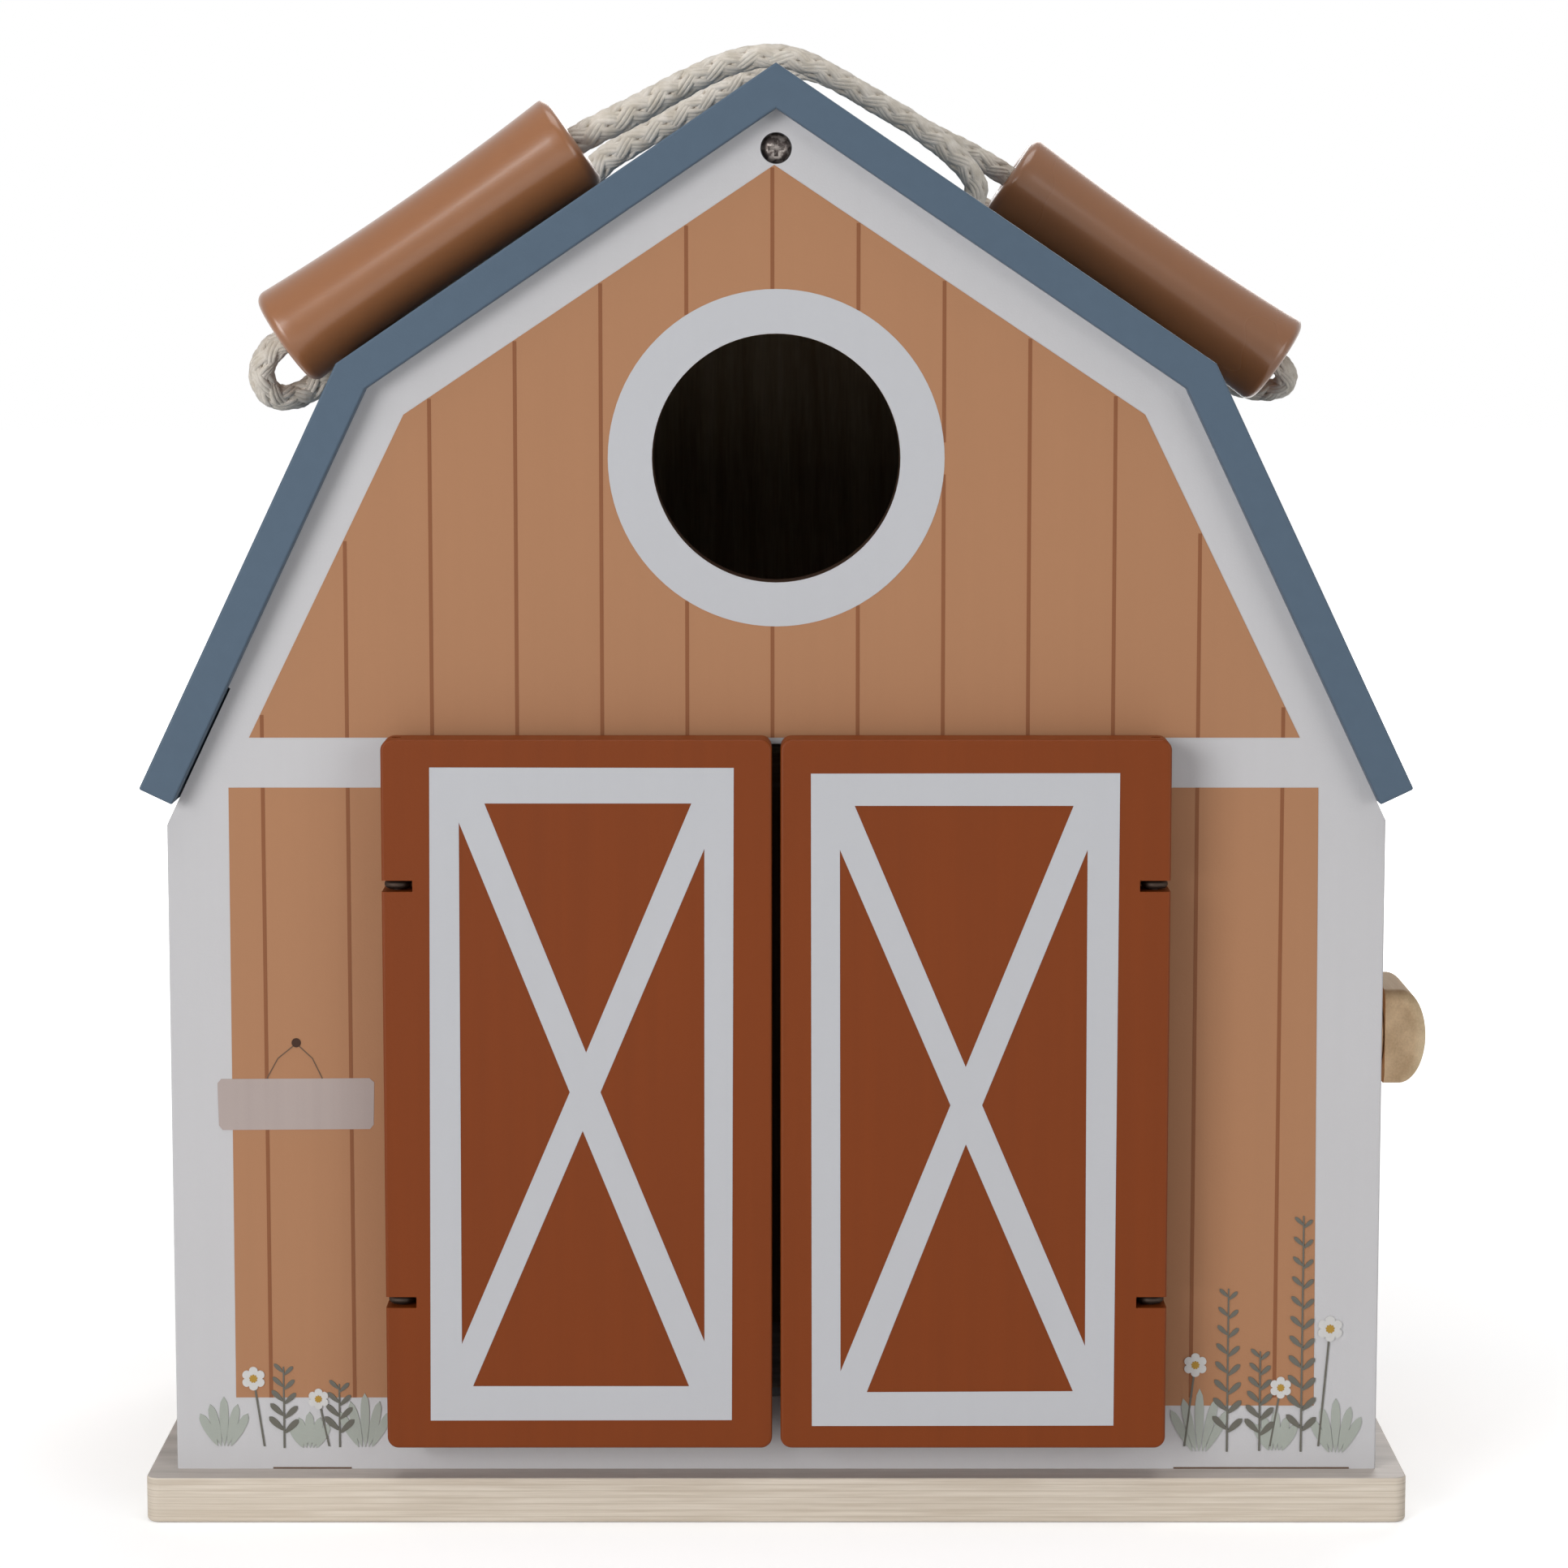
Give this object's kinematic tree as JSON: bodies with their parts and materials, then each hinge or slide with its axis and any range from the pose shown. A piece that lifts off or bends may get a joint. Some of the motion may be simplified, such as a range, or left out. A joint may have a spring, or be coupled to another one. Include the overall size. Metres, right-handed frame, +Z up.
{
  "type": "toy farmhouse",
  "caption": "Carry-along wooden toy barn that opens on side hinges, with a gambrel roof, swinging front doors, a round loft window, a turn-button catch and rope handles with wooden grips.",
  "frame": {"origin": "on the underside of the base, midway along its width and at the seam between the two halves", "axes": "+X to the right seen from the front, +Y from the front gable to the back gable, +Z up"},
  "size_m": [0.2863, 0.1595, 0.3231],
  "materials": {
    "plywood": "bare clear plywood, fine sanded",
    "white_paint": "satin water-based paint on plywood",
    "caramel_paint": "matt printed paint on plywood",
    "slate_paint": "satin slate blue paint on plywood",
    "rust_paint": "satin rust brown paint on plywood",
    "terracotta_wood": "satin lacquer on turned wood",
    "beech": "oiled bare beech",
    "cotton_rope": "twisted natural cotton",
    "steel": "zinc plated",
    "bronzed_screw": "bronzed"
  },
  "bodies": {
    "back_half": {"back_base": "plywood", "back_base_screws": "steel", "back_gable": "caramel_paint", "back_left_wall": "white_paint", "back_right_wall": "white_paint", "back_upper_left_roof": "slate_paint", "back_upper_right_roof": "slate_paint", "back_lower_left_roof": "slate_paint", "back_lower_right_roof": "slate_paint", "back_ridge_block": "plywood", "back_apex_screw": "bronzed_screw", "back_hinge_leaves": "steel", "back_hinge_screws": "steel", "back_rope": "cotton_rope", "back_rope_knots": "cotton_rope", "hinge_pins": "steel", "keeper_block": "beech", "keeper_screw": "steel", "loft_floor": "plywood"},
    "front_half": {"front_base": "plywood", "front_base_screws": "steel", "front_gable": "caramel_paint", "front_left_wall": "white_paint", "front_right_wall": "white_paint", "front_upper_left_roof": "slate_paint", "front_upper_right_roof": "slate_paint", "front_lower_left_roof": "slate_paint", "front_lower_right_roof": "slate_paint", "front_ridge_block": "plywood", "front_apex_screw": "bronzed_screw", "front_hinge_leaves": "steel", "front_hinge_screws": "steel", "front_rope": "cotton_rope", "front_rope_knots": "cotton_rope", "door_hinge_eyes": "steel", "button_spacer": "beech", "button_screw": "bronzed_screw"},
    "left_door": {"left_door": "rust_paint", "left_door_pins": "steel"},
    "right_door": {"right_door": "rust_paint", "right_door_pins": "steel"},
    "turn_button": {"turn_button": "beech", "button_magnet": "steel"},
    "front_grip": {"front_grip": "terracotta_wood"},
    "back_grip": {"back_grip": "terracotta_wood"}
  },
  "joints": [
    {"name": "front_half_swing", "type": "hinge", "parent": "back_half", "child": "front_half", "pos_m": [-0.13625, 0, 0.0825], "axis": [0, 0, -1], "range_deg": [0, 180]},
    {"name": "left_door_swing", "type": "hinge", "parent": "front_half", "child": "left_door", "pos_m": [-0.08, -0.0775, 0.094], "axis": [0, 0, -1], "range_deg": [0, 170]},
    {"name": "right_door_swing", "type": "hinge", "parent": "front_half", "child": "right_door", "pos_m": [0.08, -0.0775, 0.094], "axis": [0, 0, 1], "range_deg": [0, 170]},
    {"name": "turn_button_turn", "type": "hinge", "parent": "front_half", "child": "turn_button", "pos_m": [0.13795, -0.0075, 0.0948], "axis": [1, 0, 0], "continuous": true},
    {"name": "front_grip_spin", "type": "hinge", "parent": "front_half", "child": "front_grip", "pos_m": [-0.0429, -0.052, 0.29551], "axis": [-0.826, 0, -0.5637], "continuous": true},
    {"name": "back_grip_spin", "type": "hinge", "parent": "back_half", "child": "back_grip", "pos_m": [0.05328, 0.023, 0.28928], "axis": [0.8249, 0, -0.5653], "continuous": true}
  ]
}
